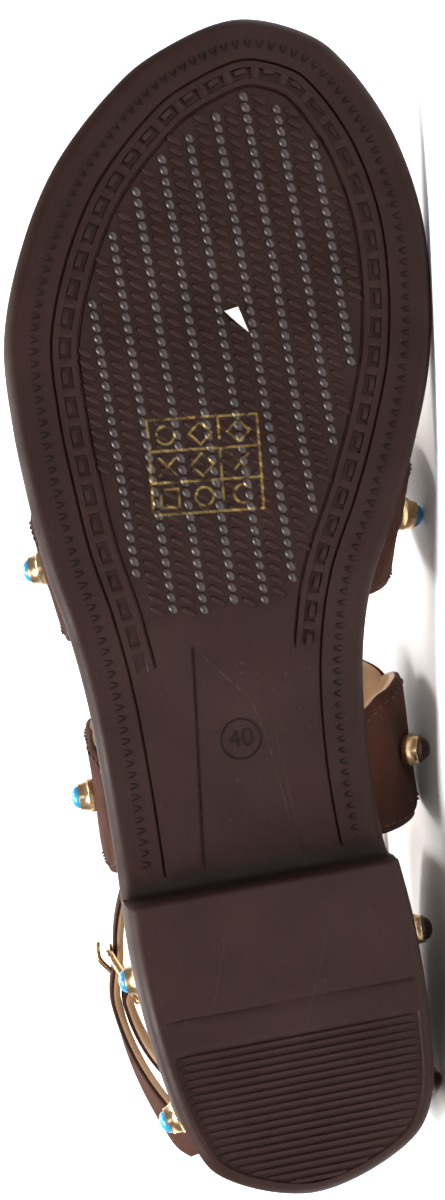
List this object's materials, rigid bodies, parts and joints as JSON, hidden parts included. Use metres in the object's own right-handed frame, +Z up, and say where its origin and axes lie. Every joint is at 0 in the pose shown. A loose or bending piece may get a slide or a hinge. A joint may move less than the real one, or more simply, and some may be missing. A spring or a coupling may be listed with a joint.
{
  "type": "flat strappy sandal",
  "caption": "Right flat strappy sandal on its side: dark brown moulded sole with a low heel, scalloped brown suede straps with turquoise and brown studs, buckled ankle strap",
  "frame": {"origin": "on the floor under the centre of the shoe's box, as it lies on its medial side", "axes": "+X towards the toe, +Y from the tread towards the top of the upper, +Z up from the floor towards the lateral side"},
  "size_m": [0.2748, 0.098, 0.0963],
  "materials": {
    "brown_sole": "matt moulded rubber",
    "brown_suede": "napped suede",
    "tan_lining": "smooth lining leather",
    "gold_metal": "pale gold plate",
    "turquoise": "glossy cabochon",
    "brown_stone": "glossy cabochon"
  },
  "bodies": {
    "root": {"outsole": "brown_sole", "insole": "tan_lining", "front_strap": "brown_suede", "instep_strap": "brown_suede", "heel_counter": "brown_suede", "ankle_strap": "brown_suede", "heel_loop": "brown_suede", "buckle_frame": "gold_metal", "buckle_pin": "gold_metal", "stud_setting_front_strap_1": "gold_metal", "cabochon_front_strap_1": "turquoise", "stud_setting_front_strap_2": "gold_metal", "cabochon_front_strap_2": "brown_stone", "stud_setting_front_strap_3": "gold_metal", "cabochon_front_strap_3": "turquoise", "stud_setting_front_strap_4": "gold_metal", "cabochon_front_strap_4": "brown_stone", "stud_setting_front_strap_5": "gold_metal", "cabochon_front_strap_5": "turquoise", "stud_setting_instep_strap_1": "gold_metal", "cabochon_instep_strap_1": "turquoise", "stud_setting_instep_strap_2": "gold_metal", "cabochon_instep_strap_2": "brown_stone", "stud_setting_instep_strap_3": "gold_metal", "cabochon_instep_strap_3": "turquoise", "stud_setting_instep_strap_4": "gold_metal", "cabochon_instep_strap_4": "turquoise", "stud_setting_instep_strap_5": "gold_metal", "cabochon_instep_strap_5": "brown_stone", "stud_setting_heel_counter_1": "gold_metal", "cabochon_heel_counter_1": "turquoise", "stud_setting_heel_counter_2": "gold_metal", "cabochon_heel_counter_2": "turquoise", "stud_setting_heel_counter_3": "gold_metal", "cabochon_heel_counter_3": "turquoise", "stud_setting_heel_counter_4": "gold_metal", "cabochon_heel_counter_4": "brown_stone", "stud_setting_heel_counter_5": "gold_metal", "cabochon_heel_counter_5": "brown_stone"}
  },
  "joints": []
}
